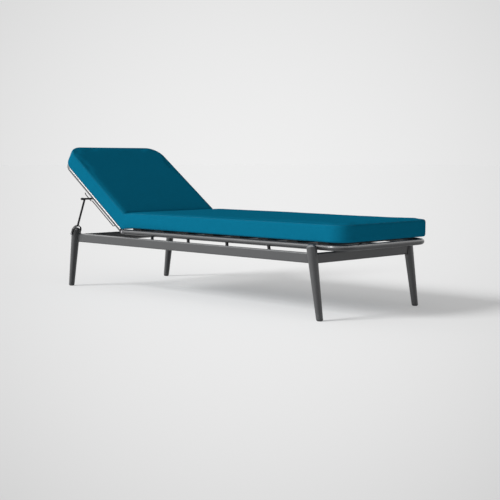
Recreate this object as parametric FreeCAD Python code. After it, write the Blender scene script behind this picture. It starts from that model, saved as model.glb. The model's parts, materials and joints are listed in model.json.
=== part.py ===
import FreeCAD, Part
import math
import os

# Sun lounger: four tapered legs and a rail ring carry a bent-tube seat frame, a bent-tube back frame
# hinged to it, a prop that holds the back up, and a pad in two lengths.
# Frame: +X towards the foot end, +Y towards the lying person's left, +Z up.
# Origin on the floor, midway along the raised lounger and midway between its sides.
# All sizes are in millimetres and all angles in degrees.

# Legs and glides
LEG_FOOT_X = 870.0
LEG_FOOT_Y = 325.5
LEG_TILT = 8.8
LEG_TOP_R = 22.0
LEG_FOOT_R = 14.3
LEG_WALL = 3.0
LEG_DOME = 12.0
FRONT_LEG_TOP_Z = 314.0
REAR_LEG_TOP_Z = 311.0
LEG_SOLID_TOP = 75.0
GLIDE_HEIGHT = 8.0
GLIDE_PLUG = 18.0
GLIDE_FIT = 0.1
GLIDE_EDGE = 7.4

# Rail ring between the legs
RAIL_HEIGHT = 43.5
RAIL_WIDTH = 18.0
RAIL_INSET = 9.5
RAIL_TOP_Z = 277.0
RAIL_EDGE_R = 6.0
RAIL_WALL = 2.5
REAR_RAIL_SET = 38.0

# Bent tubes of the seat and the back
TUBE_R = 13.0
TUBE_WALL = 2.0
TUBE_Z = 301.0
TUBE_LEG_GAP = 1.6
SEAT_END_X = 976.0
SEAT_CORNER_R = 74.0
BACK_LENGTH = 612.4
BACK_CORNER_R = 65.0
CROSS_TUBE_R = 10.0
CROSS_TUBE_SET = 46.0

# Stays between the side rails and the seat frame
STAY_R = 7.0
STAY_PITCH = 262.0
STAY_COUNT = 4
STAY_FROM_LEG = 249.0
STAY_RAKE = 34.0

# Slats under the pads
SLAT_WIDTH = 60.0
SLAT_THICKNESS = 6.0
SEAT_SLAT_RISE = 8.2
SLAT_EDGE_R = 2.0
SEAT_SLATS = 8
BACK_SLATS = 4
SLAT_FROM_CROSS = 62.0
SLAT_FROM_BEND = 4.0

# Back hinge
HINGE_X = -472.0
BACK_ANGLE = 35.0
HINGE_EYE_R = 11.0
HINGE_FLANGE_SET = 16.0
HINGE_FLANGE_T = 4.0
HINGE_PLUG = 26.0
HINGE_PLUG_FIT = 0.1
TONGUE_T = 8.0
CHEEK_T = 5.0
CHEEK_GAP = 0.4
HINGE_PIN_R = 4.0
HINGE_PIN_HEAD_R = 6.5
HINGE_PIN_HEAD_T = 2.0
HINGE_BUSH_T = 1.5
RUNNING_FIT = 0.08

# Racks under the back tubes
RACK_WIDTH = 4.0
RACK_DROP = 28.0
RACK_STRIP_T = 3.0
RACK_END_T = 5.0
RACK_TOP_REACH = 55.0
RACK_LOW_REACH = 247.0
RACK_LOW_RUN = 14.0
RACK_STEP_SET = 18.0
RACK_STEP_RUN = 8.0
RACK_LIP_RUN = 10.0
RACK_LIP_RISE = 4.0
RACK_BAR_GAP = 0.5
RACK_SLOT_ROOM = 3.0

# Prop that holds the back up
PROP_AT = 313.0
BAR_DROP = 26.0
BAR_R = 5.0
BAR_OVERHANG = 19.0
BAR_CAP_T = 3.0
BAR_CAP_R = 6.2
ROD_R = 5.2
YOKE_PIVOT_Z = 277.0
YOKE_SIDE_GAP = 1.0
YOKE_T = 4.5
YOKE_WIDTH = 10.0
YOKE_CROWN = 43.0
YOKE_EYE_R = 6.0
PIVOT_PIN_R = 4.0
PIVOT_HEAD_R = 6.5
PIVOT_HEAD_T = 2.2
PIVOT_HEAD_GAP = 0.3

# Pads
PAD_SEAT_GAP = 0.3
BACK_PAD_THICKNESS = 79.0
SEAT_PAD_THICKNESS = 75.5
PAD_CROWN = 4.5
PAD_SIDE_OVERHANG = 19.6
PAD_HEAD_OVERHANG = 4.5
PAD_FOOT_OVERHANG = -5.0
PAD_EDGE_R = 11.0
PAD_BASE_R = 8.0
PAD_CORNER_R = 76.0
BACK_PAD_CORNER_R = 88.0
PAD_CREASE_CORNER_R = 14.0
PAD_DRAW_IN = 4.0
PAD_CREASE_GAP = 0.6
CREASE_ROUNDING = 0.4

# Sizes worked out from the driving ones
TILT_SLOPE = math.tan(math.radians(LEG_TILT))
RAIL_MID_Z = RAIL_TOP_Z - RAIL_HEIGHT / 2
TUBE_Y = LEG_FOOT_Y - LEG_TOP_R - TUBE_LEG_GAP - TUBE_R
TUBE_TOP_Z = TUBE_Z + TUBE_R
RACK_BAR_SEAT = BAR_DROP + BAR_R + RACK_BAR_GAP
RAIL_Y = LEG_FOOT_Y - RAIL_INSET
PAD_HALF_WIDTH = TUBE_Y + PAD_SIDE_OVERHANG
HINGE_AT = FreeCAD.Vector(HINGE_X, 0, TUBE_Z)
SIDES = {"right": -1, "left": 1}
ENDS = {"front": 1, "rear": -1}
AXIS_Y = FreeCAD.Vector(0, 1, 0)


def leg_axis_x(end, z):
    """X of a leg's axis at height z: the feet stand further out than the tops."""
    return end * (LEG_FOOT_X - TILT_SLOPE * z)


def place_on_leg(shape, end, side):
    """Lean a shape made upright about the origin and stand it on one leg's foot point."""
    shape.rotate(FreeCAD.Vector(0, 0, 0), AXIS_Y, -end * LEG_TILT)
    shape.translate(FreeCAD.Vector(end * LEG_FOOT_X, side * LEG_FOOT_Y, 0))
    return shape


def raise_back(shape):
    """Turn a shape made with the back lying flat up to the raised position."""
    shape.rotate(HINGE_AT, AXIS_Y, BACK_ANGLE)
    return shape


def revolve(points):
    """Solid of revolution about Z from (radius, height) corners."""
    corners = [FreeCAD.Vector(r, 0, h) for r, h in points]
    face = Part.Face(Part.makePolygon(corners + corners[:1]))
    return face.revolve(FreeCAD.Vector(0, 0, 0), FreeCAD.Vector(0, 0, 1), 360)


def cylinder_y(radius, y0, y1, x, z):
    """Round bar along Y between two Y values."""
    return Part.makeCylinder(radius, y1 - y0, FreeCAD.Vector(x, y0, z), AXIS_Y)


def edges_along(shape, direction):
    """Straight edges of a shape that run along one direction."""
    return [e for e in shape.Edges if abs(e.tangentAt(e.FirstParameter).dot(direction)) > 0.999]


def rounded_bar(x0, x1, y0, y1, z0, z1, radius, along):
    """Rectangular bar with its long edges rounded."""
    bar = Part.makeBox(x1 - x0, y1 - y0, z1 - z0, FreeCAD.Vector(x0, y0, z0))
    return bar.makeFillet(radius, edges_along(bar, along))


def leg_radius(height, top):
    """Outer radius of a leg of a given length at a height along its axis."""
    return LEG_FOOT_R + (LEG_TOP_R - LEG_FOOT_R) * height / (top - LEG_DOME)


def leg_outer(end, side):
    """Full tapered leg with a domed top, before its bore."""
    top = (FRONT_LEG_TOP_Z if end > 0 else REAR_LEG_TOP_Z) / math.cos(math.radians(LEG_TILT))
    dome_r = (LEG_TOP_R ** 2 + LEG_DOME ** 2) / (2 * LEG_DOME)
    half = math.asin(LEG_TOP_R / dome_r) / 2
    crown = FreeCAD.Vector(dome_r * math.sin(half), 0, top - dome_r * (1 - math.cos(half)))
    shoulder = FreeCAD.Vector(LEG_TOP_R, 0, top - LEG_DOME)
    tip = FreeCAD.Vector(0, 0, top)
    foot = FreeCAD.Vector(LEG_FOOT_R, 0, 0)
    base = FreeCAD.Vector(0, 0, 0)
    side_line = Part.makeLine(foot, shoulder)
    dome = Part.Arc(shoulder, crown, tip).toShape()
    wire = Part.Wire([Part.makeLine(base, foot), side_line, dome, Part.makeLine(tip, base)])
    solid = Part.Face(wire).revolve(base, FreeCAD.Vector(0, 0, 1), 360)
    return place_on_leg(solid, end, side)


def leg_bore(end, side, shrink):
    """Tapered hollow of a leg, open at the foot."""
    top = FRONT_LEG_TOP_Z if end > 0 else REAR_LEG_TOP_Z
    height = top - LEG_SOLID_TOP
    lower = LEG_FOOT_R - LEG_WALL - shrink
    upper = leg_radius(height, top) - LEG_WALL - shrink
    return place_on_leg(revolve([(0, 0), (lower, 0), (upper, height), (0, height)]), end, side)


def floor_slab(z0, z1):
    """Wide flat block between two heights."""
    reach = 2 * LEG_FOOT_X
    return Part.makeBox(2 * reach, 2 * reach, z1 - z0, FreeCAD.Vector(-reach, -reach, z0))


def leg(end, side):
    """Tapered tube leg, cut level above its glide."""
    shape = leg_outer(end, side).cut(leg_bore(end, side, 0)).cut(floor_slab(-LEG_FOOT_R, GLIDE_HEIGHT))
    if end < 0:
        reach = LEG_TOP_R + YOKE_SIDE_GAP
        y = side * LEG_FOOT_Y
        shape = shape.cut(cylinder_y(PIVOT_PIN_R, y - reach, y + reach, PIVOT.x, PIVOT.z))
    return shape


def foot_glide(end, side):
    """Plastic foot: a pad under the leg and a plug up its bore."""
    pad_r = leg_radius(GLIDE_HEIGHT, FRONT_LEG_TOP_Z)
    x = leg_axis_x(end, GLIDE_HEIGHT / 2)
    pad = Part.makeCylinder(pad_r, GLIDE_HEIGHT, FreeCAD.Vector(x, side * LEG_FOOT_Y, 0))
    pad = pad.makeFillet(GLIDE_EDGE, [e for e in pad.Edges if e.BoundBox.ZMax < GLIDE_HEIGHT / 2])
    plug = leg_bore(end, side, GLIDE_FIT).common(floor_slab(GLIDE_HEIGHT, GLIDE_HEIGHT + GLIDE_PLUG))
    return pad.fuse(plug).removeSplitter()


def side_rail_outer(side, wall=0):
    """Long rail from the rear leg to the front leg, or its hollow where a wall is given."""
    y = side * RAIL_Y
    x0, x1 = leg_axis_x(-1, RAIL_MID_Z), leg_axis_x(1, RAIL_MID_Z)
    half = RAIL_WIDTH / 2 - wall
    return rounded_bar(x0, x1, y - half, y + half, RAIL_TOP_Z - RAIL_HEIGHT + wall, RAIL_TOP_Z - wall,
                       RAIL_EDGE_R - wall, FreeCAD.Vector(1, 0, 0))


def side_rail(side):
    """Rectangular tube rail, shaped at its ends to both legs."""
    tube = side_rail_outer(side).cut(side_rail_outer(side, RAIL_WALL))
    return tube.cut(leg_outer(1, side)).cut(leg_outer(-1, side))


def cross_rail(x, reach, cutters):
    """Rectangular tube rail across the lounger, shaped to the pieces it meets."""
    tube = None
    for wall in (0, RAIL_WALL):
        half = RAIL_WIDTH / 2 - wall
        bar = rounded_bar(x - half, x + half, -reach, reach, RAIL_TOP_Z - RAIL_HEIGHT + wall,
                          RAIL_TOP_Z - wall, RAIL_EDGE_R - wall, AXIS_Y)
        tube = tube.cut(bar) if tube else bar
    for cutter in cutters:
        tube = tube.cut(cutter)
    return tube


def front_rail():
    legs = [leg_outer(1, side) for side in SIDES.values()]
    rails = [side_rail_outer(side) for side in SIDES.values()]
    return cross_rail(leg_axis_x(1, RAIL_MID_Z), RAIL_Y, legs + rails)


def rear_rail():
    """Rail across the rear, slotted on top where the racks come down into it when the back lies flat."""
    x = leg_axis_x(-1, RAIL_MID_Z) + REAR_RAIL_SET
    slot_half = RACK_WIDTH / 2 + RACK_SLOT_ROOM
    slot_z = TUBE_Z - RACK_BAR_SEAT - RACK_STRIP_T - RACK_SLOT_ROOM
    slots = [Part.makeBox(RAIL_WIDTH, 2 * slot_half, RAIL_HEIGHT,
                          FreeCAD.Vector(x - RAIL_WIDTH / 2, side * TUBE_Y - slot_half, slot_z))
             for side in SIDES.values()]
    return cross_rail(x, RAIL_Y, [side_rail_outer(side) for side in SIDES.values()] + slots)


def tube_path(x_open, x_end, corner_r):
    """Centre line of a bent tube: two side runs joined across one end by round corners."""
    way = 1 if x_end > x_open else -1
    x_turn = x_end - way * corner_r
    y_turn = TUBE_Y - corner_r
    bend = corner_r * math.sqrt(0.5)

    def at(x, y):
        return FreeCAD.Vector(x, y, TUBE_Z)

    edges = [
        Part.makeLine(at(x_open, -TUBE_Y), at(x_turn, -TUBE_Y)),
        Part.Arc(at(x_turn, -TUBE_Y), at(x_turn + way * bend, -y_turn - bend), at(x_end, -y_turn)).toShape(),
        Part.makeLine(at(x_end, -y_turn), at(x_end, y_turn)),
        Part.Arc(at(x_end, y_turn), at(x_turn + way * bend, y_turn + bend), at(x_turn, TUBE_Y)).toShape(),
        Part.makeLine(at(x_turn, TUBE_Y), at(x_open, TUBE_Y)),
    ]
    return Part.Wire(edges)


def swept_round(path, radius):
    """Round bar along a path that starts along X."""
    start = path.Edges[0].valueAt(path.Edges[0].FirstParameter)
    ring = Part.Wire(Part.makeCircle(radius, start, FreeCAD.Vector(1, 0, 0)))
    return path.makePipeShell([ring], True, False)


def bent_tube(x_open, x_outer, corner_r, bore=True):
    """Bent frame tube from its open hinge ends to the outside of its closed end."""
    way = 1 if x_outer > x_open else -1
    path = tube_path(x_open, x_outer - way * TUBE_R, corner_r)
    solid = swept_round(path, TUBE_R)
    return solid.cut(swept_round(path, TUBE_R - TUBE_WALL)) if bore else solid


SEAT_OPEN_X = HINGE_X + HINGE_FLANGE_SET + HINGE_FLANGE_T
BACK_OPEN_X = HINGE_X - HINGE_FLANGE_SET - HINGE_FLANGE_T
BACK_END_X = HINGE_X - BACK_LENGTH


def seat_frame(bore=True):
    return bent_tube(SEAT_OPEN_X, SEAT_END_X, SEAT_CORNER_R, bore)


def back_frame_flat(bore=True):
    return bent_tube(BACK_OPEN_X, BACK_END_X, BACK_CORNER_R, bore)


def cross_tube(x, frame_outer):
    """Tube across a frame, shaped to the two side tubes."""
    outer = cylinder_y(CROSS_TUBE_R, -TUBE_Y, TUBE_Y, x, TUBE_Z)
    bore = cylinder_y(CROSS_TUBE_R - TUBE_WALL, -TUBE_Y, TUBE_Y, x, TUBE_Z)
    return outer.cut(bore).cut(frame_outer)


def slat(x, frame_outer, rise):
    """Flat slat across a frame, let in between its tubes and standing above them by a rise."""
    half = SLAT_WIDTH / 2
    bar = rounded_bar(x - half, x + half, -TUBE_Y, TUBE_Y, TUBE_TOP_Z - SLAT_THICKNESS, TUBE_TOP_Z + rise,
                      SLAT_EDGE_R, AXIS_Y)
    return bar.cut(frame_outer)


def slat_places(x_cross, x_outer, corner_r, count):
    """Even places for slats between a cross tube and the bends of a frame's closed end."""
    way = 1 if x_outer > x_cross else -1
    first = x_cross + way * SLAT_FROM_CROSS
    last = x_outer - way * (TUBE_R + corner_r + SLAT_FROM_BEND + SLAT_WIDTH / 2)
    return [first + (last - first) * i / (count - 1) for i in range(count)]


def frame_stays(side, frame_outer):
    """Round stays that rake back and in from a side rail to the seat tube above it."""
    foot = FreeCAD.Vector(0, side * RAIL_Y, RAIL_MID_Z)
    head = FreeCAD.Vector(-STAY_RAKE, side * TUBE_Y, TUBE_Z)
    lean = head - foot
    rail = side_rail_outer(side)
    front_x = leg_axis_x(1, TUBE_Z)
    places = [front_x - STAY_FROM_LEG - STAY_PITCH * i for i in range(STAY_COUNT)]
    stays = []
    for x in places:
        stay = Part.makeCylinder(STAY_R, lean.Length, foot + FreeCAD.Vector(x, 0, 0), lean)
        stays.append(stay.cut(rail).cut(frame_outer).Solids[0])
    return Part.makeCompound(stays)


def hinge_plate(way, y0, y1):
    """Eye plate of the hinge: round about the pin, straight back to its flange."""
    eye = cylinder_y(HINGE_EYE_R, y0, y1, HINGE_X, TUBE_Z)
    x_far = HINGE_X + way * HINGE_FLANGE_SET
    shank = Part.makeBox(HINGE_FLANGE_SET, y1 - y0, 2 * HINGE_EYE_R,
                         FreeCAD.Vector(min(HINGE_X, x_far), y0, TUBE_Z - HINGE_EYE_R))
    return eye.fuse(shank)


def hinge_end(way, side, plates):
    """Hinge plates on a flange that closes a tube's end, with a plug inside the tube."""
    along = FreeCAD.Vector(way, 0, 0)
    start = FreeCAD.Vector(HINGE_X + way * HINGE_FLANGE_SET, side * TUBE_Y, TUBE_Z)
    plug_r = TUBE_R - TUBE_WALL - HINGE_PLUG_FIT
    body = Part.makeCylinder(TUBE_R, HINGE_FLANGE_T, start, along)
    body = body.fuse(Part.makeCylinder(plug_r, HINGE_FLANGE_T + HINGE_PLUG, start, along))
    for y0, y1 in plates:
        body = body.fuse(hinge_plate(way, y0, y1))
    return body.removeSplitter()


def hinge_drill(shape, side, radius):
    """Bore a hinge piece for its pin or bush."""
    y = side * TUBE_Y
    return shape.cut(cylinder_y(radius, y - TUBE_R, y + TUBE_R, HINGE_X, TUBE_Z))


CHEEK_IN = TONGUE_T / 2 + CHEEK_GAP
CHEEK_OUT = CHEEK_IN + CHEEK_T


def hinge_fork(side):
    """Fork in the end of a seat tube: two cheeks either side of the tongue."""
    y = side * TUBE_Y
    plates = [(y - CHEEK_OUT, y - CHEEK_IN), (y + CHEEK_IN, y + CHEEK_OUT)]
    return hinge_drill(hinge_end(1, side, plates), side, HINGE_PIN_R)


def hinge_tongue(side):
    """Tongue in the end of a back tube, bored for its bush."""
    y = side * TUBE_Y
    tongue = hinge_end(-1, side, [(y - TONGUE_T / 2, y + TONGUE_T / 2)])
    return raise_back(hinge_drill(tongue, side, HINGE_PIN_R + RUNNING_FIT + HINGE_BUSH_T))


def hinge_bush(side):
    """Plastic bush pressed into a tongue."""
    y0, y1 = side * TUBE_Y - TONGUE_T / 2, side * TUBE_Y + TONGUE_T / 2
    inner = HINGE_PIN_R + RUNNING_FIT
    outer = cylinder_y(inner + HINGE_BUSH_T, y0, y1, HINGE_X, TUBE_Z)
    return raise_back(outer.cut(cylinder_y(inner, y0, y1, HINGE_X, TUBE_Z)))


def headed_pin(x, y, z, radius, half, head_r, head_t):
    """Pin along Y with a rounded head at each end."""
    pin = cylinder_y(radius, y - half, y + half, x, z)
    for end in (-1, 1):
        y0 = y + end * half
        head = cylinder_y(head_r, min(y0, y0 + end * head_t), max(y0, y0 + end * head_t), x, z)
        rim = [e for e in head.Edges if abs(e.BoundBox.Center.y - y0 - end * head_t) < head_t / 10]
        pin = pin.fuse(head.makeFillet(head_t / 2, [e for e in rim if e.Closed]))
    return pin.removeSplitter()


def hinge_pin(side):
    return headed_pin(HINGE_X, side * TUBE_Y, TUBE_Z, HINGE_PIN_R, CHEEK_OUT, HINGE_PIN_HEAD_R,
                      HINGE_PIN_HEAD_T)


def rack(side, frame_outer):
    """Loop hung under a back tube: stepped down under the bar, and open above, where the bar leaves it."""
    y0 = side * TUBE_Y - RACK_WIDTH / 2
    low, high = PROP_AT - RACK_LOW_REACH, PROP_AT + RACK_TOP_REACH
    step = PROP_AT - RACK_STEP_SET
    way = [(low, 0), (low, TUBE_R), (low + RACK_LOW_RUN, RACK_DROP), (step, RACK_DROP),
           (step + RACK_STEP_RUN, RACK_BAR_SEAT + RACK_STRIP_T),
           (high - RACK_LIP_RUN, RACK_BAR_SEAT + RACK_STRIP_T),
           (high, RACK_BAR_SEAT + RACK_STRIP_T - RACK_LIP_RISE)]
    inner = [(s, drop - RACK_STRIP_T) for s, drop in way[3:]]
    inner = [(low + RACK_END_T, 0), (low + RACK_END_T, TUBE_R),
             (low + RACK_END_T + RACK_LOW_RUN - RACK_STRIP_T, RACK_DROP - RACK_STRIP_T)] + inner
    corners = [FreeCAD.Vector(HINGE_X - s, y0, TUBE_Z - drop) for s, drop in way + inner[::-1]]
    strip = Part.Face(Part.makePolygon(corners + corners[:1])).extrude(FreeCAD.Vector(0, RACK_WIDTH, 0))
    return raise_back(strip.cut(frame_outer))


PIVOT = FreeCAD.Vector(leg_axis_x(-1, YOKE_PIVOT_Z), 0, YOKE_PIVOT_Z)
BAR_AT = raise_back(Part.Vertex(HINGE_X - PROP_AT, 0, TUBE_Z - BAR_DROP)).Point
PROP_REACH = (BAR_AT - PIVOT).Length
PROP_LEAN = math.degrees(math.atan2(BAR_AT.x - PIVOT.x, BAR_AT.z - PIVOT.z))


def lean_prop(shape, side):
    """Turn a shape made upright on the pivot's origin to the prop's lean on one side."""
    shape.rotate(FreeCAD.Vector(0, 0, 0), AXIS_Y, PROP_LEAN)
    shape.translate(FreeCAD.Vector(PIVOT.x, side * LEG_FOOT_Y, PIVOT.z))
    return shape


def arch(radius, half_width, height):
    """Arch standing across Y: straight sides up to a half-round crown."""
    def at(y, z):
        return FreeCAD.Vector(-half_width, y, z)

    spring = height - radius
    walls = Part.makePolygon([at(-radius, spring), at(-radius, 0), at(radius, 0), at(radius, spring)])
    crown = Part.Arc(at(radius, spring), at(0, height), at(-radius, spring)).toShape()
    return Part.Face(Part.Wire(walls.Edges + [crown])).extrude(FreeCAD.Vector(2 * half_width, 0, 0))


def prop_yoke(side):
    """Strap that straddles the rear leg's top and turns on the pivot pin."""
    inner = LEG_TOP_R + YOKE_SIDE_GAP
    outer = inner + YOKE_T
    strap = arch(outer, YOKE_WIDTH / 2, YOKE_CROWN + YOKE_T)
    for y0 in (-outer, inner):
        strap = strap.fuse(cylinder_y(YOKE_EYE_R, y0, y0 + YOKE_T, 0, 0))
    opening = arch(inner, YOKE_EYE_R, YOKE_CROWN)
    corner = FreeCAD.Vector(-YOKE_EYE_R, -inner, -YOKE_EYE_R)
    below = Part.makeBox(2 * YOKE_EYE_R, 2 * inner, YOKE_EYE_R, corner)
    strap = strap.cut(opening).cut(below)
    strap = strap.cut(cylinder_y(PIVOT_PIN_R + RUNNING_FIT, -outer, outer, 0, 0))
    return lean_prop(strap.removeSplitter(), side)


def prop_bar():
    """Bar across the lounger that carries the racks."""
    reach = LEG_FOOT_Y + BAR_OVERHANG
    return cylinder_y(BAR_R, -reach, reach, BAR_AT.x, BAR_AT.z)


def bar_cap(side):
    """Plastic cap over one end of the bar."""
    reach = LEG_FOOT_Y + BAR_OVERHANG
    depth = BAR_OVERHANG - 2 * ROD_R
    y0, y1 = sorted([side * (reach + BAR_CAP_T), side * (reach - depth)])
    cap = cylinder_y(BAR_CAP_R, y0, y1, BAR_AT.x, BAR_AT.z)
    tip_y = side * (reach + BAR_CAP_T)
    tip = [e for e in cap.Edges if e.Closed and abs(e.BoundBox.Center.y - tip_y) < BAR_CAP_T / 10]
    return cap.makeFillet(BAR_CAP_T / 2, tip).cut(prop_bar())


def prop_rod(side):
    """Rod from the crown of a yoke up to the bar."""
    foot = YOKE_CROWN + YOKE_T
    start = FreeCAD.Vector(0, 0, foot - YOKE_T / 2)
    rod = lean_prop(Part.makeCylinder(ROD_R, PROP_REACH - start.z, start), side)
    return rod.cut(prop_bar()).cut(prop_yoke(side))


def pivot_pin(side):
    """Pin through a rear leg's top that carries a yoke."""
    half = LEG_TOP_R + YOKE_SIDE_GAP + YOKE_T + PIVOT_HEAD_GAP
    return headed_pin(PIVOT.x, side * LEG_FOOT_Y, PIVOT.z, PIVOT_PIN_R, half, PIVOT_HEAD_R, PIVOT_HEAD_T)


def pad_ring(z, inset, x_far, corner_r):
    """Outline of a pad at one height, drawn in along its sides and leaning at the crease."""
    way = 1 if x_far > HINGE_X else -1
    rise = (z - TUBE_Z) * math.tan(math.radians(BACK_ANGLE / 2))
    x0 = HINGE_X + way * (rise + PAD_CREASE_GAP / 2 + inset * CREASE_ROUNDING)
    x1 = x_far - way * inset
    w = PAD_HALF_WIDTH - inset
    far_r = max(corner_r - inset, PAD_CREASE_CORNER_R)
    near_r = PAD_CREASE_CORNER_R
    diagonal = 1 - math.sqrt(0.5)

    def at(x, y):
        return FreeCAD.Vector(x, y, z)

    def side_corners(side):
        near = [at(x0, side * (w - near_r)), at(x0 + way * near_r * diagonal, side * (w - near_r * diagonal)),
                at(x0 + way * near_r, side * w)]
        far = [at(x1 - way * far_r, side * w), at(x1 - way * far_r * diagonal, side * (w - far_r * diagonal)),
               at(x1, side * (w - far_r))]
        return near, far

    near_a, far_a = side_corners(-1)
    near_b, far_b = side_corners(1)
    middle = (x0 + x1) / 2
    edges = [
        Part.Arc(*near_a).toShape(),
        Part.Arc(near_a[2], at(middle, -w + PAD_DRAW_IN), far_a[0]).toShape(),
        Part.Arc(*far_a).toShape(),
        Part.Arc(far_a[2], at(x1 - way * PAD_DRAW_IN / 2, 0), far_b[2]).toShape(),
        Part.Arc(far_b[2], far_b[1], far_b[0]).toShape(),
        Part.Arc(far_b[0], at(middle, w - PAD_DRAW_IN), near_b[2]).toShape(),
        Part.Arc(near_b[2], near_b[1], near_b[0]).toShape(),
        Part.makeLine(near_b[0], near_a[0]),
    ]
    return Part.Wire(edges)


PAD_EDGE_STEPS = 3
PAD_CROWN_INSETS = (0.25, 0.5, 0.75)


def pad(x_far, corner_r, rise, thickness):
    """Pad lying flat at a rise above a frame's tubes: soft edges all round, and a low crown on top."""
    z_low = TUBE_TOP_Z + rise + PAD_SEAT_GAP
    z_high = z_low + thickness
    angles = [math.radians(90 * i / PAD_EDGE_STEPS) for i in range(PAD_EDGE_STEPS + 1)]
    rings = []
    for a in angles:
        rings.append((z_low + PAD_BASE_R * (1 - math.cos(a)), PAD_BASE_R * (1 - math.sin(a))))
    for a in reversed(angles):
        rings.append((z_high - PAD_EDGE_R * (1 - math.cos(a)), PAD_EDGE_R * (1 - math.sin(a))))
    for share in PAD_CROWN_INSETS:
        inset = PAD_EDGE_R + share * (PAD_HALF_WIDTH - PAD_EDGE_R - PAD_CREASE_CORNER_R)
        rings.append((z_high + PAD_CROWN * (1 - (1 - share) ** 2), inset))
    return Part.makeLoft([pad_ring(z, inset, x_far, corner_r) for z, inset in rings], True, True)


def seat_pad():
    return pad(SEAT_END_X + PAD_FOOT_OVERHANG, PAD_CORNER_R, SEAT_SLAT_RISE, SEAT_PAD_THICKNESS)


def back_pad():
    return raise_back(pad(BACK_END_X - PAD_HEAD_OVERHANG, BACK_PAD_CORNER_R, 0, BACK_PAD_THICKNESS))


def build():
    """All pieces by node name."""
    parts = {}
    seat_outer = seat_frame(bore=False)
    back_outer = back_frame_flat(bore=False)
    seat_cross_x = HINGE_X + CROSS_TUBE_SET
    back_cross_x = HINGE_X - CROSS_TUBE_SET
    for end_name, end in ENDS.items():
        for side_name, side in SIDES.items():
            parts[f"leg_{end_name}_{side_name}"] = leg(end, side)
            parts[f"foot_glide_{end_name}_{side_name}"] = foot_glide(end, side)
    for side_name, side in SIDES.items():
        parts[f"side_rail_{side_name}"] = side_rail(side)
        parts[f"frame_stays_{side_name}"] = frame_stays(side, seat_outer)
        parts[f"hinge_fork_{side_name}"] = hinge_fork(side)
        parts[f"hinge_tongue_{side_name}"] = hinge_tongue(side)
        parts[f"hinge_bush_{side_name}"] = hinge_bush(side)
        parts[f"hinge_pin_{side_name}"] = hinge_pin(side)
        parts[f"rack_{side_name}"] = rack(side, back_outer)
        parts[f"prop_yoke_{side_name}"] = prop_yoke(side)
        parts[f"prop_rod_{side_name}"] = prop_rod(side)
        parts[f"prop_bar_cap_{side_name}"] = bar_cap(side)
        parts[f"pivot_pin_{side_name}"] = pivot_pin(side)
    parts["front_rail"] = front_rail()
    parts["rear_rail"] = rear_rail()
    parts["seat_frame"] = seat_frame()
    parts["seat_cross_tube"] = cross_tube(seat_cross_x, seat_outer)
    for i, x in enumerate(slat_places(seat_cross_x, SEAT_END_X, SEAT_CORNER_R, SEAT_SLATS)):
        parts[f"seat_slat_{i + 1}"] = slat(x, seat_outer, SEAT_SLAT_RISE)
    parts["back_frame"] = raise_back(back_frame_flat())
    parts["back_cross_tube"] = raise_back(cross_tube(back_cross_x, back_outer))
    for i, x in enumerate(slat_places(back_cross_x, BACK_END_X, BACK_CORNER_R, BACK_SLATS)):
        parts[f"back_slat_{i + 1}"] = raise_back(slat(x, back_outer, 0))
    parts["prop_bar"] = prop_bar()
    parts["seat_pad"] = seat_pad()
    parts["back_pad"] = back_pad()
    return parts


os.makedirs("parts", exist_ok=True)
for name, shape in build().items():
    shape.exportStep(f"parts/{name}.step")
    box = shape.BoundBox
    print(f"{name}: {len(shape.Solids)} solid(s), valid {shape.isValid()}, {shape.Volume / 1000:.1f} cm3, "
          f"x {box.XMin:.1f}..{box.XMax:.1f} y {box.YMin:.1f}..{box.YMax:.1f} z {box.ZMin:.1f}..{box.ZMax:.1f}")
print(f"prop pivot x {PIVOT.x:.2f} z {PIVOT.z:.2f}, reach {PROP_REACH:.2f}, lean {PROP_LEAN:.2f}")
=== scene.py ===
import json
import math

import bpy
import numpy as np
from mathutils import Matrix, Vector
from mathutils.bvhtree import BVHTree


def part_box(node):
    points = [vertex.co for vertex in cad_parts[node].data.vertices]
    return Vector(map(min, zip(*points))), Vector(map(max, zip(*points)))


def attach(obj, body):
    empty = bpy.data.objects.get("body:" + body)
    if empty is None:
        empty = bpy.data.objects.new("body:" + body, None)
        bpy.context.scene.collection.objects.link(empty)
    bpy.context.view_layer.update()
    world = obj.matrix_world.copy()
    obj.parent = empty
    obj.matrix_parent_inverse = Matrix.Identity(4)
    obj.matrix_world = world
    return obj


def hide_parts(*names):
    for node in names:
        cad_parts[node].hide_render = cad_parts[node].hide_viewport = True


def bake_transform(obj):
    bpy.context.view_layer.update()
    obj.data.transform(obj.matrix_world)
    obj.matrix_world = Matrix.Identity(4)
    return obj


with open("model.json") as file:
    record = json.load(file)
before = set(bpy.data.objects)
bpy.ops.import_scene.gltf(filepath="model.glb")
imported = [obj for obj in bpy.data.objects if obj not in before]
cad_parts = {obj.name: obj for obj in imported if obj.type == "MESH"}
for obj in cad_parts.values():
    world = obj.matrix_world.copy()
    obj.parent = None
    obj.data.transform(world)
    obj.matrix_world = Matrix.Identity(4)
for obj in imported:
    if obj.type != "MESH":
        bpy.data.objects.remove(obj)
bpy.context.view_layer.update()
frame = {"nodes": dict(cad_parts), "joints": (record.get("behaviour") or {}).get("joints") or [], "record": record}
scene = bpy.context.scene

# Sizes are in metres. The two sides, by the way they lie across the lounger.
SIDES = {"right": -1, "left": 1}

# Camera, fitted to the four feet in the photograph: its place, its angles in degrees and its lens.
CAMERA_PLACE = (3.6802, -3.5178, 0.6552)
CAMERA_DOWN = 4.882
CAMERA_TURN = 45.209
CAMERA_LENS = 75.31
CAMERA_SENSOR = 36.0

# Soft light of the sky: its strength, how far it leans to one side, and how far it dims overhead.
SKY_LIGHT = 0.58
SKY_LEAN = 0.45
SKY_TOP_DIM = 0.30
SKY_FROM = (-0.42, -0.88, 0.22)

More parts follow.
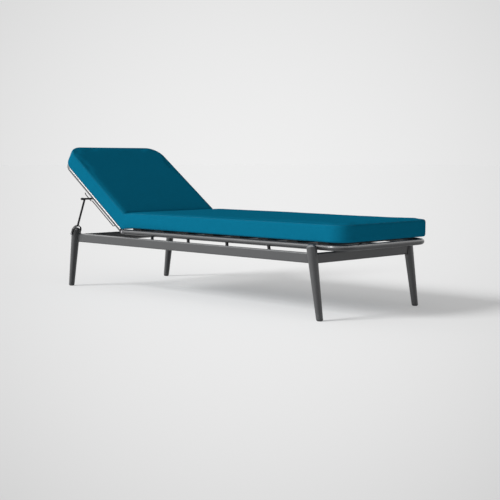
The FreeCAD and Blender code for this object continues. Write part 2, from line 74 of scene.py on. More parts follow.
# Lamps: where their light comes from, its strength, and its spread in radians.
KEY_FROM = (-0.37, -0.79, 0.56)
KEY_LIGHT = 0.98
KEY_SPREAD = 0.38
FILL_FROM = (-0.25, -0.95, 0.10)
FILL_LIGHT = 0.05
FILL_SPREAD = 0.90

# Backdrop, brightest some degrees above the picture's middle and duller outwards.
BACKDROP_BRIGHT = 0.863
BACKDROP_FALL = 3.8
BACKDROP_RAISED = 1.9

# The rest of the room as the metal mirrors it: bright by the lamps and overhead, dark behind the camera.
ROOM_BRIGHT = 0.60
ROOM_LEAN = 0.66
ROOM_DARK = 0.48
ROOM_TOP = 2.9

# Floor: the light that it throws back, how far it shines by itself, and its width.
FLOOR_BOUNCE = 0.92
FLOOR_GLOW = 0.36
FLOOR_SIZE = 240.0

# The back's hinge, and the fold of the pad above it.
hinge_joint = next(j for j in frame["joints"] if j["name"] == "back_recline")
HINGE = Vector(hinge_joint["pos_m"])
LEAN = math.radians(max(hinge_joint["range_deg"]))
FOLD = LEAN / 2
SEAT_RISE_REACH = 0.09

# The pad as it is cut, and how far its filling swells it.
PAD_SWELL = 0.0045
PAD_PRESSURE = 4.0
PAD_STRETCH = 25.0
PAD_BENDING = 2.0
PAD_FRAMES = 20
PAD_CROWN = 0.0045
PAD_EDGE_R = 0.011
PAD_BASE_R = 0.008
FOOT_CORNER_R = 0.076
HEAD_CORNER_R = 0.088
PAD_STEP = 0.0145
PAD_EDGE_LINES = (0.0045, 0.0105, 0.018, 0.0275)
FOLD_LINES = (0.005, 0.012, 0.021)
SEAM_DEPTH = 0.0011

# Stitches along the pad's edge seams.
STITCH_PITCH = 0.0046
STITCH_LENGTH = 0.0033
STITCH_WIDTH = 0.0010
STITCH_PROUD = 0.0002

# Weld ripples lie just outside the rails and the stays.
WELD_PITCH = 0.0024
WELD_R = 0.0014175
WELD_GAP = 0.0003
RAIL_CORNER_R = 0.006
RAIL_CORNER_STEPS = 5
STAY_R = 0.007
STAY_RAKE = 0.034
STAY_SPACE = 0.05
STAY_SHOWN = 0.62
STAY_STEPS = 24


def srgb(red, green, blue):
    """A colour read as 8-bit values, in the linear values that a shader takes."""
    def linear(value):
        value /= 255.0
        return value / 12.92 if value <= 0.04045 else ((value + 0.055) / 1.055) ** 2.4
    return (linear(red), linear(green), linear(blue), 1.0)


# Colours of the finishes, and the heights to which they are rubbed and scuffed by the floor.
WHITE = (1.0, 1.0, 1.0, 1.0)
COAT_DEEP = (0.0245, 0.0254, 0.0270, 1.0)
COAT_PALE = (0.0325, 0.0336, 0.0355, 1.0)
COAT_SPECK = (0.080, 0.082, 0.086, 1.0)
COAT_RUBBED = (0.17, 0.17, 0.175, 1.0)
RUB_HEIGHT = 0.055
RUB_FADE = 22.0
BLACK_DEEP = (0.008, 0.008, 0.009, 1.0)
BLACK_PALE = (0.015, 0.015, 0.016, 1.0)
STEEL_STAINED = (0.20, 0.20, 0.21, 1.0)
STEEL_CLEAN = (0.34, 0.34, 0.35, 1.0)
MOULD_BLACK = (0.010, 0.010, 0.011, 1.0)
MOULD_BLACK_PALE = (0.020, 0.020, 0.021, 1.0)
MOULD_GREY = (0.034, 0.035, 0.037, 1.0)
MOULD_GREY_PALE = (0.046, 0.047, 0.049, 1.0)
MOULD_SCUFF = (0.09, 0.09, 0.09, 1.0)
SCUFF_HEIGHT = 0.006
SCUFF_FADE = 220.0
CLOTH = srgb(9, 94, 121)
CLOTH_DEEP = srgb(6, 86, 112)
CLOTH_PALE = srgb(13, 106, 135)
CLOTH_GAP = srgb(3, 56, 75)
CLOTH_PITCH = 0.0021
THREAD_DEEP = srgb(3, 62, 82)
THREAD_PALE = srgb(9, 88, 114)


class Value:
    """A node's output, which can be used in sums with numbers and other outputs."""

    def __init__(self, finish, socket):
        self.finish = finish
        self.socket = socket

    def of(self, name):
        return Value(self.finish, self.socket.node.outputs[name])

    def sum(self, operation, *others, clamp=False):
        inputs = dict(enumerate((self,) + others))
        return self.finish.node("ShaderNodeMath", {"operation": operation, "use_clamp": clamp}, inputs)

    def __add__(self, other):
        return self.sum("ADD", other)

    def __radd__(self, other):
        return self.sum("ADD", other)

    def __sub__(self, other):
        return self.sum("SUBTRACT", other)

    def __rsub__(self, other):
        return self.finish.node("ShaderNodeMath", {"operation": "SUBTRACT"}, {0: other, 1: self})

    def __mul__(self, other):
        return self.sum("MULTIPLY", other)

    def __rmul__(self, other):
        return self.sum("MULTIPLY", other)

    def __abs__(self):
        return self.sum("ABSOLUTE")

    def sine(self):
        return self.sum("SINE")

    def above(self, level):
        return self.sum("GREATER_THAN", level)

    def clamped(self):
        return self.sum("ADD", 0.0, clamp=True)

    def towards(self, way):
        """How far this direction points along another, from minus one to one."""
        product = {"operation": "DOT_PRODUCT"}
        return self.finish.node("ShaderNodeVectorMath", product, {0: self, 1: way}, output="Value")


class Finish:
    """A tree of shader nodes. node() adds any node: its kind, its settings, then its sockets."""

    def __init__(self, owner):
        self.owner = owner
        owner.use_nodes = True
        self.tree = owner.node_tree
        self.tree.nodes.clear()

    def node(self, kind, settings=None, sockets=None, output=0):
        made = self.tree.nodes.new(kind)
        for name, setting in (settings or {}).items():
            setattr(made, name, setting)
        for name, given in (sockets or {}).items():
            if isinstance(given, Value):
                self.tree.links.new(given.socket, made.inputs[name])
            else:
                made.inputs[name].default_value = given
        return Value(self, made.outputs[output]) if made.outputs else made

    def place(self):
        return self.node("ShaderNodeTexCoord", output="Object")

    def noise(self, where, scale, detail=2.0, roughness=0.5):
        sockets = {"Vector": where, "Scale": scale, "Detail": detail, "Roughness": roughness}
        return self.node("ShaderNodeTexNoise", None, sockets, output="Fac")

    def streaks(self, where, scales, detail, roughness=0.5):
        stretched = self.node("ShaderNodeMapping", None, {"Vector": where, "Scale": scales})
        return self.noise(stretched, 1.0, detail, roughness)

    def between(self, share, first, second):
        return self.node("ShaderNodeMix", {"data_type": "RGBA"}, {0: share, 6: first, 7: second}, output=2)

    def bump(self, height, depth, strength):
        sockets = {"Height": height, "Distance": depth, "Strength": strength}
        return self.node("ShaderNodeBump", None, sockets, output="Normal")

    def surface(self, **sockets):
        named = {name.replace("_", " "): given for name, given in sockets.items()}
        shader = self.node("ShaderNodeBsdfPrincipled", None, named)
        self.node("ShaderNodeOutputMaterial", None, {"Surface": shader})
        return self.owner


def new_finish(name):
    return Finish(bpy.data.materials.new(name))


def grey_powder_coat():
    """Matt grey coat with a fine orange peel, cloudy by a little, rubbed lighter close to the floor."""
    coat = new_finish("grey_powder_coat")
    place = coat.place()
    cloud = coat.noise(place, scale=9.0, detail=3.0)
    speck = coat.noise(place, scale=1400.0, detail=1.0)
    peel = coat.noise(place, scale=520.0)
    height = coat.node("ShaderNodeSeparateXYZ", None, {0: place}, output="Z")
    low = ((RUB_HEIGHT - height) * RUB_FADE).clamped()
    rub = (coat.noise(place, scale=160.0, detail=4.0, roughness=0.65) - 0.56).clamped() * 5.0
    worn = (low * rub).clamped()
    body = coat.between(cloud, COAT_DEEP, COAT_PALE)
    body = coat.between((speck - 0.60).clamped() * 3.0, body, COAT_SPECK)
    body = coat.between(worn * 0.55, body, COAT_RUBBED)
    normal = coat.bump(peel + 0.35 * speck, depth=0.00016, strength=0.55)
    rough = 0.25 + 0.08 * cloud + 0.12 * worn
    return coat.surface(Base_Color=body, Roughness=rough, Normal=normal, Specular_IOR_Level=0.75)


def black_coat(name, roughness, gloss=0.3):
    """Thin black coat on steel and slats, with long drawn marks; on the stays it is painted shade for the shadow
    under the seat's tube.
    """
    coat = new_finish(name)
    place = coat.place()
    cloud = coat.noise(place, scale=14.0, detail=3.0)
    drawn = coat.streaks(place, (900.0, 900.0, 60.0), detail=2.0)
    body = coat.between(cloud, BLACK_DEEP, BLACK_PALE)
    normal = coat.bump(drawn, depth=0.00008, strength=0.5)
    rough = roughness + 0.14 * drawn
    return coat.surface(Base_Color=body, Roughness=rough, Normal=normal, Specular_IOR_Level=gloss)


def dull_pin_steel():
    """Turned steel, with rings from the tool on its heads and a dull stain here and there."""
    steel = new_finish("dull_pin_steel")
    place = steel.place()
    stain = steel.noise(place, scale=220.0, detail=3.0)
    turned = steel.streaks(place, (2600.0, 220.0, 2600.0), detail=1.0)
    body = steel.between(stain, STEEL_STAINED, STEEL_CLEAN)
    normal = steel.bump(turned, depth=0.00006, strength=0.5)
    rough = 0.28 + 0.22 * stain
    return steel.surface(Base_Color=body, Roughness=rough, Normal=normal, Metallic=0.95)


def moulding(name, deep, pale):
    """Moulded plastic with a fine spark grain, scuffed where it meets the floor."""
    plastic = new_finish(name)
    place = plastic.place()
    grain = plastic.node("ShaderNodeTexVoronoi", None, {"Vector": place, "Scale": 900.0}, output="Distance")
    cloud = plastic.noise(place, scale=60.0, detail=3.0)
    height = plastic.node("ShaderNodeSeparateXYZ", None, {0: place}, output="Z")
    scuff = ((SCUFF_HEIGHT - height) * SCUFF_FADE).clamped() * cloud
    body = plastic.between(cloud, deep, pale)
    body = plastic.between(scuff * 0.6, body, MOULD_SCUFF)
    normal = plastic.bump(grain, depth=0.00012, strength=0.6)
    rough = 0.52 + 0.12 * cloud
    return plastic.surface(Base_Color=body, Roughness=rough, Normal=normal, Specular_IOR_Level=0.45)


def teal_canvas():
    """Plain woven outdoor canvas. Its threads follow the pad's own cut, held in the pad's map in metres."""
    cloth = new_finish("teal_canvas")
    cut = cloth.node("ShaderNodeUVMap", {"uv_map": "cut"})
    axes = cloth.node("ShaderNodeSeparateXYZ", None, {0: cut}, output="X")
    along = axes * (math.pi / CLOTH_PITCH)
    across = axes.of("Y") * (math.pi / CLOTH_PITCH)
    warp = abs(along.sine())
    weft = abs(across.sine())
    over = (along.sine() * across.sine()).above(0.0)
    weave = over * warp * (0.55 + 0.45 * weft) + (1.0 - over) * weft * (0.55 + 0.45 * warp)
    slub_along = cloth.streaks(cut, (26.0, 420.0, 1.0), detail=3.0, roughness=0.6)
    slub_across = cloth.streaks(cut, (420.0, 26.0, 1.0), detail=3.0, roughness=0.6)
    slub = over * slub_along + (1.0 - over) * slub_across
    cloud = cloth.noise(cloth.place(), scale=5.0)
    body = cloth.between((slub * 1.3 - 0.15).clamped(), CLOTH_DEEP, CLOTH_PALE)
    body = cloth.between((1.0 - weave) * 0.32, body, CLOTH_GAP)
    body = cloth.between((cloud - 0.35).clamped() * 0.35, body, CLOTH)
    normal = cloth.bump(weave + 0.35 * slub, depth=0.00032, strength=0.75)
    rough = 0.86 + 0.10 * slub
    return cloth.surface(Base_Color=body, Roughness=rough, Normal=normal, Specular_IOR_Level=0.0)


def sewing_thread():
    """Twisted polyester thread, a shade deeper than the canvas."""
    thread = new_finish("sewing_thread")
    twist = thread.streaks(thread.place(), (1500.0, 900.0, 1500.0), detail=2.0)
    body = thread.between(twist, THREAD_DEEP, THREAD_PALE)
    normal = thread.bump(twist, depth=0.0001, strength=0.5)
    rough = 0.55 + 0.2 * twist
    return thread.surface(Base_Color=body, Roughness=rough, Normal=normal, Specular_IOR_Level=0.3)


def seen_rays(finish):
    """One for what the camera sees, straight or mirrored, and nought for soft light."""
    path = finish.node("ShaderNodeLightPath", output="Is Camera Ray")
    return (path + path.of("Is Glossy Ray")).clamped()


def backdrop(finish, way, sign):
    """Brightness of the studio by the way it is seen. With sign -1, way leads back to the eye."""
    turn = math.radians(CAMERA_TURN)
    down = math.radians(CAMERA_DOWN - BACKDROP_RAISED)
    middle = (-math.sin(turn) * math.cos(down), math.cos(turn) * math.cos(down), -math.sin(down))
    facing = way.towards([sign * x for x in middle])
    bright = BACKDROP_BRIGHT - BACKDROP_BRIGHT * BACKDROP_FALL * (1.0 - facing)
    lit = way.towards([sign * x for x in SKY_FROM]).clamped()
    behind = (0.0 - facing).clamped()
    gloss = finish.node("ShaderNodeLightPath", output="Is Glossy Ray")
    room = ROOM_BRIGHT + gloss * (ROOM_LEAN * lit - ROOM_DARK * behind)
    return bright.sum("MAXIMUM", room)


def pale_floor():
    """Even pale floor that keeps the lounger's shadow."""
    floor = new_finish("pale_floor")
    bright = backdrop(floor, floor.node("ShaderNodeNewGeometry", output="Incoming"), -1)
    seen = seen_rays(floor)
    shade = FLOOR_BOUNCE + seen * (bright - FLOOR_BOUNCE)
    matt = floor.node("ShaderNodeBsdfDiffuse", None, {"Color": shade})
    pale = floor.node("ShaderNodeEmission", None, {"Color": WHITE, "Strength": bright})
    both = floor.node("ShaderNodeMixShader", None, {0: FLOOR_GLOW * seen, 1: matt, 2: pale})
    floor.node("ShaderNodeOutputMaterial", None, {"Surface": both})
    return floor.owner


FINISHES = {
    "frame_metal": grey_powder_coat(),
    "prop_steel": black_coat("black_satin_coat", 0.42),
    "slat_coat": black_coat("black_matt_coat", 0.62),
    "pin_steel": dull_pin_steel(),
    "black_plastic": moulding("black_moulding", MOULD_BLACK, MOULD_BLACK_PALE),
    "glide_plastic": moulding("grey_moulding", MOULD_GREY, MOULD_GREY_PALE),
    "cushion_fabric": teal_canvas(),
}
THREAD = sewing_thread()
# A darker, duller black coat for the stays: painted shade, standing in for the shadow they lie in under the seat's
# tube.
STAY_PAINTED_SHADE_COAT = black_coat("stay_painted_shade_coat", 0.55, gloss=0.08)


def dress_solids():
    """Every solid gets the finish of its material slot, but the stays get a darker, duller coat than the frame:
    painted shade for the shadow under the seat's tube.
    """
    for part in frame["record"]["subparts"]:
        solid = frame["nodes"][part["node"]]
        finish = FINISHES[part["material_slot"]]
        # The stays' dark coat is painted shade.
        if part["node"].startswith("frame_stays"):
            finish = STAY_PAINTED_SHADE_COAT
        if not solid.material_slots:
            solid.data.materials.append(finish)
        for slot in solid.material_slots:
            slot.material = finish


def new_piece(name, mesh):
    piece = bpy.data.objects.new(name, mesh)
    scene.collection.objects.link(piece)
    return piece


def points_of(mesh):
    points = np.zeros(len(mesh.vertices) * 3)
    mesh.vertices.foreach_get("co", points)
    return points.reshape(-1, 3)


def normals_of(mesh):
    normals = np.zeros(len(mesh.vertices) * 3)
    mesh.vertex_normals.foreach_get("vector", normals)
    return normals.reshape(-1, 3)


def plain_mesh(piece):
    """A piece's mesh as its modifiers leave it."""
    return bpy.data.meshes.new_from_object(piece.evaluated_get(bpy.context.evaluated_depsgraph_get()))


def hit_tree(node):
    mesh = frame["nodes"][node].data
    faces = [tuple(p.vertices) for p in mesh.polygons]
    return BVHTree.FromPolygons([v.co.copy() for v in mesh.vertices], faces)


# The pad: cut flat, rounded at its corners and edges, folded at the hinge, then filled.
seat_low, seat_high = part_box("seat_pad")
raised = points_of(frame["nodes"]["back_pad"].data) - np.array(HINGE)
along_back = raised[:, 0] * math.cos(LEAN) - raised[:, 2] * math.sin(LEAN)
up_from_back = raised[:, 0] * math.sin(LEAN) + raised[:, 2] * math.cos(LEAN)
SEAT_REACH = seat_high.x - HINGE.x
BACK_REACH = -along_back.min()
PAD_HALF = seat_high.y
SEAT_BOTTOM = seat_low.z - HINGE.z
SEAT_TOP = seat_high.z - HINGE.z - PAD_CROWN
PAD_BOTTOM = up_from_back.min()
PAD_THICK = up_from_back.max() - PAD_CROWN - PAD_BOTTOM


def cut_lines(low, high, near_low, near_high):
    """Places of the grid's lines from one edge to the other, closer together near the edges."""
    start = low + near_low[-1]
    stop = high - near_high[-1]
    count = max(1, round((stop - start) / PAD_STEP))
    lines = [low] + [low + d for d in near_low[:-1]]
    lines += [start + (stop - start) * i / count for i in range(count + 1)]
    lines += [high - d for d in reversed(near_high[:-1])] + [high]
    return sorted(set(round(x, 6) for x in lines))


def round_corner(points):
    """Draws the grid's square corners in to the pad's round ones, in plan."""
    for end, reach, radius in ((1, SEAT_REACH, FOOT_CORNER_R), (-1, BACK_REACH, HEAD_CORNER_R)):
        a = (end * points[:, 0] - (reach - radius)) / radius
        b = (np.abs(points[:, 1]) - (PAD_HALF - radius)) / radius
        inside = (a > 0) & (b > 0)
        a, b = a[inside], b[inside]
        points[inside, 0] = end * (reach - radius + radius * a * np.sqrt(1 - b * b / 2))
        side = np.sign(points[inside, 1])
        points[inside, 1] = side * (PAD_HALF - radius + radius * b * np.sqrt(1 - a * a / 2))
    return points


def outside(points):
    """Distance of each point outside the pad's surface, with round corners and round edges."""
    middle = (SEAT_REACH - BACK_REACH) / 2
    half = (SEAT_REACH + BACK_REACH) / 2
    radius = np.where(points[:, 0] > middle, FOOT_CORNER_R, HEAD_CORNER_R)
    qx = np.abs(points[:, 0] - middle) - (half - radius)
    qy = np.abs(points[:, 1]) - (PAD_HALF - radius)
    plan = np.hypot(np.maximum(qx, 0), np.maximum(qy, 0)) + np.minimum(np.maximum(qx, qy), 0) - radius
    edge = np.where(points[:, 2] > PAD_THICK / 2, PAD_EDGE_R, PAD_BASE_R)
    w0 = plan + edge
    w1 = np.abs(points[:, 2] - PAD_THICK / 2) - PAD_THICK / 2 + edge
    return np.hypot(np.maximum(w0, 0), np.maximum(w1, 0)) + np.minimum(np.maximum(w0, w1), 0) - edge


def round_edges(points):
    """Moves the grid's points straight on to the rounded surface."""
    nudge = 1e-5
    for _ in range(4):
        slope = np.stack([(outside(points + nudge * axis) - outside(points - nudge * axis)) / (2 * nudge)
                          for axis in np.eye(3)], axis=1)
        points = points - outside(points)[:, None] * slope / (slope ** 2).sum(1, keepdims=True)
    return points


def fold(points):
    """Folds the flat pad up at the hinge. Past the fold its height eases into that of the seat's solid."""
    height = points[:, 2] + PAD_BOTTOM
    seat_height = SEAT_BOTTOM + points[:, 2] * (SEAT_TOP - SEAT_BOTTOM) / PAD_THICK
    share = np.clip(points[:, 0] / SEAT_RISE_REACH, 0, 1)
    height = height + (seat_height - height) * share * share * (3 - 2 * share)
    start = height * math.tan(FOLD)
    reach = np.where(points[:, 0] >= 0, SEAT_REACH, BACK_REACH)
    run = start + np.abs(points[:, 0]) * (reach - start) / reach
    seat = np.stack([run, points[:, 1], height], axis=1)
    back_x = -run * math.cos(LEAN) + height * math.sin(LEAN)
    back_z = run * math.sin(LEAN) + height * math.cos(LEAN)
    back = np.stack([back_x, points[:, 1], back_z], axis=1)
    return np.where(points[:, :1] >= 0, seat, back) + np.array(HINGE)


def pad_grid():
    """The pad's points and faces, its map in metres, its two edge seams and the points that stay put."""
    us = cut_lines(-BACK_REACH, 0, PAD_EDGE_LINES, FOLD_LINES)
    us += cut_lines(0, SEAT_REACH, FOLD_LINES, PAD_EDGE_LINES)[1:]
    vs = cut_lines(-PAD_HALF, PAD_HALF, PAD_EDGE_LINES, PAD_EDGE_LINES)
    ns = cut_lines(0, PAD_THICK, PAD_EDGE_LINES, PAD_EDGE_LINES)
    last_u, last_v, last_n = len(us) - 1, len(vs) - 1, len(ns) - 1
    index, points = {}, []

    def point(i, j, k):
        if (i, j, k) not in index:
            index[i, j, k] = len(points)
            points.append((us[i], vs[j], ns[k]))
        return index[i, j, k]

    faces, maps = [], []

    def face(corners, first, second):
        faces.append([point(*c) for c in corners])
        lines = (us, vs, ns)
        maps.extend((lines[first][c[first]], lines[second][c[second]]) for c in corners)

    for i in range(last_u):
        for j in range(last_v):
            face([(i, j, last_n), (i + 1, j, last_n), (i + 1, j + 1, last_n), (i, j + 1, last_n)], 0, 1)
            face([(i, j, 0), (i, j + 1, 0), (i + 1, j + 1, 0), (i + 1, j, 0)], 0, 1)
        for k in range(last_n):
            face([(i, 0, k), (i + 1, 0, k), (i + 1, 0, k + 1), (i, 0, k + 1)], 0, 2)
            face([(i, last_v, k), (i, last_v, k + 1), (i + 1, last_v, k + 1), (i + 1, last_v, k)], 0, 2)
    for j in range(last_v):
        for k in range(last_n):
            face([(0, j, k), (0, j, k + 1), (0, j + 1, k + 1), (0, j + 1, k)], 1, 2)
            face([(last_u, j, k), (last_u, j + 1, k), (last_u, j + 1, k + 1), (last_u, j, k + 1)], 1, 2)
    ring = [(i, 0) for i in range(last_u)] + [(last_u, j) for j in range(last_v)]
    ring += [(i, last_v) for i in range(last_u, 0, -1)] + [(0, j) for j in range(last_v, 0, -1)]
    seams = [[index[i, j, k] for i, j in ring] for k in (last_n, 0)]
    fold_line = us.index(0)
    held = sorted({at for (i, j, k), at in index.items() if k == 0 or (i == fold_line and k == last_n)})
    return np.array(points), faces, maps, seams, held


def fill_pad(pad, held):
    """Swells the pad with air under its cover. Its base and its crease stay where they are."""
    start = points_of(pad.data)
    normals = normals_of(pad.data)
    group = pad.vertex_groups.new(name="held")
    group.add([int(i) for i in held], 1.0, "REPLACE")
    cloth = pad.modifiers.new("filling", "CLOTH")
    cloth.settings.use_pressure = True
    cloth.settings.uniform_pressure_force = PAD_PRESSURE
    cloth.settings.vertex_group_mass = "held"
    cloth.settings.effector_weights.gravity = 0.0
    cloth.settings.tension_stiffness = PAD_STRETCH
    cloth.settings.compression_stiffness = PAD_STRETCH
    cloth.settings.bending_stiffness = PAD_BENDING
    cloth.collision_settings.use_collision = False
    cloth.point_cache.frame_start = 1
    cloth.point_cache.frame_end = PAD_FRAMES
    for step in range(1, PAD_FRAMES + 1):
        scene.frame_set(step)
    filled = plain_mesh(pad)
    moved = points_of(filled) - start
    bpy.data.meshes.remove(filled)
    pad.modifiers.remove(cloth)
    pad.vertex_groups.clear()
    scene.frame_set(1)
    swell = np.maximum((moved * normals).sum(1, keepdims=True), 0.0)
    swell = PAD_SWELL * np.tanh(swell / PAD_SWELL)
    pad.data.vertices.foreach_set("co", (start + swell * normals).ravel())
    pad.data.update()


def sew_seams(pad, seams):
    """Draws the cover in a little along its edge seams."""
    normals = normals_of(pad.data)
    points = points_of(pad.data)
    for seam in seams:
        points[seam] -= SEAM_DEPTH * normals[seam]
    pad.data.vertices.foreach_set("co", points.ravel())
    pad.data.update()


def make_pad():
    """The pad's one cover, and the points along its seams."""
    points, faces, maps, seams, held = pad_grid()
    shaped = fold(round_edges(round_corner(points.copy())))
    mesh = bpy.data.meshes.new("lounger_pad")
    mesh.from_pydata([tuple(p) for p in shaped], [], faces)
    cut = mesh.uv_layers.new(name="cut")
    cut.data.foreach_set("uv", np.array(maps).ravel())
    mesh.materials.append(FINISHES["cushion_fabric"])
    mesh.shade_smooth()
    pad = new_piece("lounger_pad", mesh)
    fill_pad(pad, held)
    sew_seams(pad, seams)
    finer = pad.modifiers.new("finer", "SUBSURF")
    finer.levels = 1
    finer.render_levels = 1
    smooth = plain_mesh(pad)
    pad.modifiers.remove(finer)
    pad.data = smooth
    smooth.name = "lounger_pad_cover"
    return pad, seams


def with_fold(piece):
    """Bakes the piece's placing into its mesh. Its fold at the hinge is already in its shape."""
    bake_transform(piece)


def node_tree(name, inputs):
    """An empty geometry tree with named inputs, and the nodes at its two ends."""
    tree = bpy.data.node_groups.new(name, "GeometryNodeTree")
    tree.interface.new_socket("Geometry", in_out="INPUT", socket_type="NodeSocketGeometry")
    for label, kind in inputs:
        tree.interface.new_socket(label, in_out="INPUT", socket_type=kind)
    tree.interface.new_socket("Geometry", in_out="OUTPUT", socket_type="NodeSocketGeometry")
    return tree, tree.nodes.new("NodeGroupInput"), tree.nodes.new("NodeGroupOutput")


def add_node(tree, kind, settings=None, sockets=None):
    made = tree.nodes.new(kind)
    for name, setting in (settings or {}).items():
        setattr(made, name, setting)
    for name, given in (sockets or {}).items():
        if isinstance(given, bpy.types.NodeSocket):
            tree.links.new(given, made.inputs[name])
        else:
            made.inputs[name].default_value = given
    return made


def beads_along_line():
    """Rows of small rounded beads, end to end along the lines they are given: stitches or weld ripples."""
    tree, given, result = node_tree("beads_along_line", (
        ("Pitch", "NodeSocketFloat"), ("Size", "NodeSocketVector"), ("Sides", "NodeSocketInt"),
        ("Rings", "NodeSocketInt"), ("Finish", "NodeSocketMaterial")))
    line = add_node(tree, "GeometryNodeMeshToCurve", None, {"Mesh": given.outputs["Geometry"]})
    spaced = add_node(tree, "GeometryNodeResampleCurve", {"mode": "LENGTH"},
                      {"Curve": line.outputs[0], "Length": given.outputs["Pitch"]})
    bead = add_node(tree, "GeometryNodeMeshUVSphere", None,
                    {"Segments": given.outputs["Sides"], "Rings": given.outputs["Rings"], "Radius": 1.0})
    tangent = add_node(tree, "GeometryNodeInputTangent")
    turn = add_node(tree, "FunctionNodeAlignRotationToVector", {"axis": "Z"}, {"Vector": tangent.outputs[0]})
    rows = add_node(tree, "GeometryNodeInstanceOnPoints", None,
                    {"Points": spaced.outputs[0], "Instance": bead.outputs["Mesh"],
                     "Rotation": turn.outputs[0], "Scale": given.outputs["Size"]})
    real = add_node(tree, "GeometryNodeRealizeInstances", None, {"Geometry": rows.outputs[0]})
    smooth = add_node(tree, "GeometryNodeSetShadeSmooth", None, {"Geometry": real.outputs[0]})
    done = add_node(tree, "GeometryNodeSetMaterial", None,
                    {"Geometry": smooth.outputs[0], "Material": given.outputs["Finish"]})
    tree.links.new(done.outputs[0], result.inputs[0])
    return tree


def lay_beads(name, lines, tree, **inputs):
    """Runs the tree on closed lines of points, and keeps what it makes as a plain mesh."""
    points, edges = [], []
    for line in lines:
        first = len(points)
        points += [tuple(p) for p in line]
        edges += [(first + i, first + (i + 1) % len(line)) for i in range(len(line))]
    mesh = bpy.data.meshes.new(name + "_lines")
    mesh.from_pydata(points, edges, [])
    piece = new_piece(name, mesh)
    rows = piece.modifiers.new("beads", "NODES")
    rows.node_group = tree
    for socket in tree.interface.items_tree:
        if socket.in_out == "INPUT" and socket.name in inputs:
            rows[socket.identifier] = inputs[socket.name]
    plain = plain_mesh(piece)
    piece.modifiers.remove(rows)
    piece.data = plain
    bpy.data.meshes.remove(mesh)
    plain.name = name
    return piece


def stitch_pad(pad, seams, beads):
    """A row of stitches in each edge seam of the cover."""
    normals = normals_of(pad.data)
    points = points_of(pad.data)
    lines = [points[seam] + STITCH_PROUD * normals[seam] for seam in seams]
    size = (STITCH_WIDTH / 2, STITCH_WIDTH / 2, STITCH_LENGTH / 2)
    return lay_beads("pad_stitches", lines, beads, Pitch=STITCH_PITCH, Size=size, Sides=6, Rings=4,
                     Finish=THREAD)


def rail_outline(node, wide):
    """Points round a rail's section at its middle, just outside its faces. It is wide along axis 0 or 1."""
    low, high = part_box(node)
    middle = (low + high) / 2
    flat_w = (high[wide] - low[wide]) / 2 + WELD_GAP - RAIL_CORNER_R
    flat_h = (high.z - low.z) / 2 + WELD_GAP - RAIL_CORNER_R
    outline = []
    for quarter, (sw, sh) in enumerate(((1, 1), (-1, 1), (-1, -1), (1, -1))):
        for i in range(RAIL_CORNER_STEPS + 1):
            angle = math.pi / 2 * (quarter + i / RAIL_CORNER_STEPS)
            point = middle.copy()
            point[wide] += sw * flat_w + RAIL_CORNER_R * math.cos(angle)
            point.z += sh * flat_h + RAIL_CORNER_R * math.sin(angle)
            outline.append(point)
    return outline


def cast_line(outline, way, target):
    """Where the outline, carried along way, meets the target, or None if too little of it does."""
    hits = [hit for hit in (target.ray_cast(point, way)[0] for point in outline) if hit is not None]
    return hits if len(hits) > len(outline) / 2 else None


def rail_welds():
    """Lines where the side rails meet the legs, the front rail its legs and the rear rail the side rails."""
    lines = []
    for side in SIDES:
        rail = rail_outline(f"side_rail_{side}", 1)
        for end, way in (("front", 1), ("rear", -1)):
            lines.append(cast_line(rail, Vector((way, 0, 0)), hit_tree(f"leg_{end}_{side}")))
    for rail, target in (("front_rail", "leg_front"), ("rear_rail", "side_rail")):
        for side, way in SIDES.items():
            lines.append(cast_line(rail_outline(rail, 0), Vector((0, way, 0)), hit_tree(f"{target}_{side}")))
    return lines


def stay_rings(side, foot, top):
    """A ring round each stay of one side, square to its lean from foot to top, where the stay shows."""
    lean = (top - foot).normalized()
    first = lean.cross(Vector((0, 1, 0))).normalized()
    second = lean.cross(first)
    radius = STAY_R + WELD_GAP
    corners = points_of(frame["nodes"][f"frame_stays_{side}"].data)
    corners = corners[np.argsort(corners[:, 0])]
    rings = []
    for stay in np.split(corners, np.where(np.diff(corners[:, 0]) > STAY_SPACE)[0] + 1):
        centre = Vector(((stay.min(0) + stay.max(0)) / 2).tolist())
        middle = foot.lerp(top, STAY_SHOWN)
        middle.x += centre.x - foot.lerp(top, (centre.z - foot.z) / (top.z - foot.z)).x
        angles = [2 * math.pi * i / STAY_STEPS for i in range(STAY_STEPS)]
        rings.append([middle + radius * (math.cos(a) * first + math.sin(a) * second) for a in angles])
    return rings


def stay_welds():
    """Lines where the stays meet the seat's tube above them and the side rails below."""
    tube_low, tube_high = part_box("seat_frame")
    tube_half = (tube_high.z - tube_low.z) / 2
    tube = hit_tree("seat_frame")
    lines = []
    for side, way in SIDES.items():
        low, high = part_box(f"side_rail_{side}")
        foot = Vector((STAY_RAKE, (low.y + high.y) / 2, (low.z + high.z) / 2))
        top = Vector((0, way * (tube_high.y - tube_half), (tube_low.z + tube_high.z) / 2))
        rail = hit_tree(f"side_rail_{side}")
        for ring in stay_rings(side, foot, top):
            lines.append(cast_line(ring, top - foot, tube))
            lines.append(cast_line(ring, foot - top, rail))
    return lines


def weld_frame(beads):
    """Ripples of weld round the ends of the rails and stays."""
    lines = rail_welds() + stay_welds()
    found = [line for line in lines if line]
    print("weld lines", len(lines), "missed", len(lines) - len(found))
    size = (WELD_R, WELD_R, WELD_R)
    return lay_beads("frame_welds", found, beads, Pitch=WELD_PITCH, Size=size, Sides=8, Rings=5,
                     Finish=FINISHES["frame_metal"])


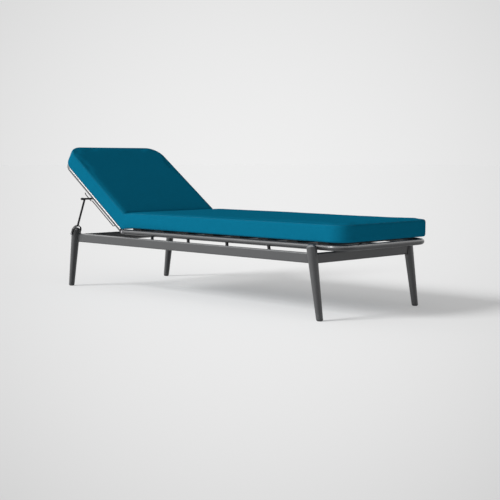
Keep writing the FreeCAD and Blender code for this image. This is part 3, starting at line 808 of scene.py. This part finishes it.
def lamp(name, towards, strength, spread):
    """A far lamp whose light comes from one direction, softened by its spread."""
    light = bpy.data.lights.new(name, "SUN")
    light.energy = strength * math.pi
    light.angle = spread
    shown = new_piece(name, light)
    shown.rotation_euler = Vector(towards).to_track_quat("Z", "Y").to_euler()


def studio():
    """Pale floor and sky, a soft lamp from the near left, a wide low one beside it, and the camera."""
    mesh = bpy.data.meshes.new("floor")
    half = FLOOR_SIZE / 2
    corners = [(-half, -half, 0), (half, -half, 0), (half, half, 0), (-half, half, 0)]
    mesh.from_pydata(corners, [], [(0, 1, 2, 3)])
    mesh.materials.append(pale_floor())
    new_piece("floor", mesh)

    world = bpy.data.worlds.new("studio")
    scene.world = world
    sky = Finish(world)
    way = sky.node("ShaderNodeTexCoord", output="Generated")
    high = sky.node("ShaderNodeSeparateXYZ", None, {0: way}, output="Z").clamped()
    soft = (SKY_LIGHT + SKY_LEAN * way.towards(SKY_FROM) - SKY_TOP_DIM * high).clamped()
    seen = backdrop(sky, way, 1)
    rays = sky.node("ShaderNodeLightPath", output="Is Camera Ray")
    gloss = rays.of("Is Glossy Ray")
    glow = rays * seen + (1.0 - rays) * (soft + gloss * (seen + ROOM_TOP * high - soft))
    shining = sky.node("ShaderNodeBackground", None, {"Color": WHITE, "Strength": glow})
    sky.node("ShaderNodeOutputWorld", None, {"Surface": shining})

    lamp("key_lamp", KEY_FROM, KEY_LIGHT, KEY_SPREAD)
    lamp("fill_lamp", FILL_FROM, FILL_LIGHT, FILL_SPREAD)

    camera = bpy.data.cameras.new("photo_camera")
    camera.lens = CAMERA_LENS
    camera.sensor_width = CAMERA_SENSOR
    shown = new_piece("photo_camera", camera)
    shown.location = CAMERA_PLACE
    shown.rotation_euler = (math.radians(90.0 - CAMERA_DOWN), 0.0, math.radians(CAMERA_TURN))
    scene.camera = shown
    scene.view_settings.view_transform = "Standard"


dress_solids()
pad, seams = make_pad()
beads = beads_along_line()
stitches = stitch_pad(pad, seams, beads)
welds = weld_frame(beads)
studio()

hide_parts("seat_pad", "back_pad")
with_fold(pad)
with_fold(stitches)
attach(welds, "base")
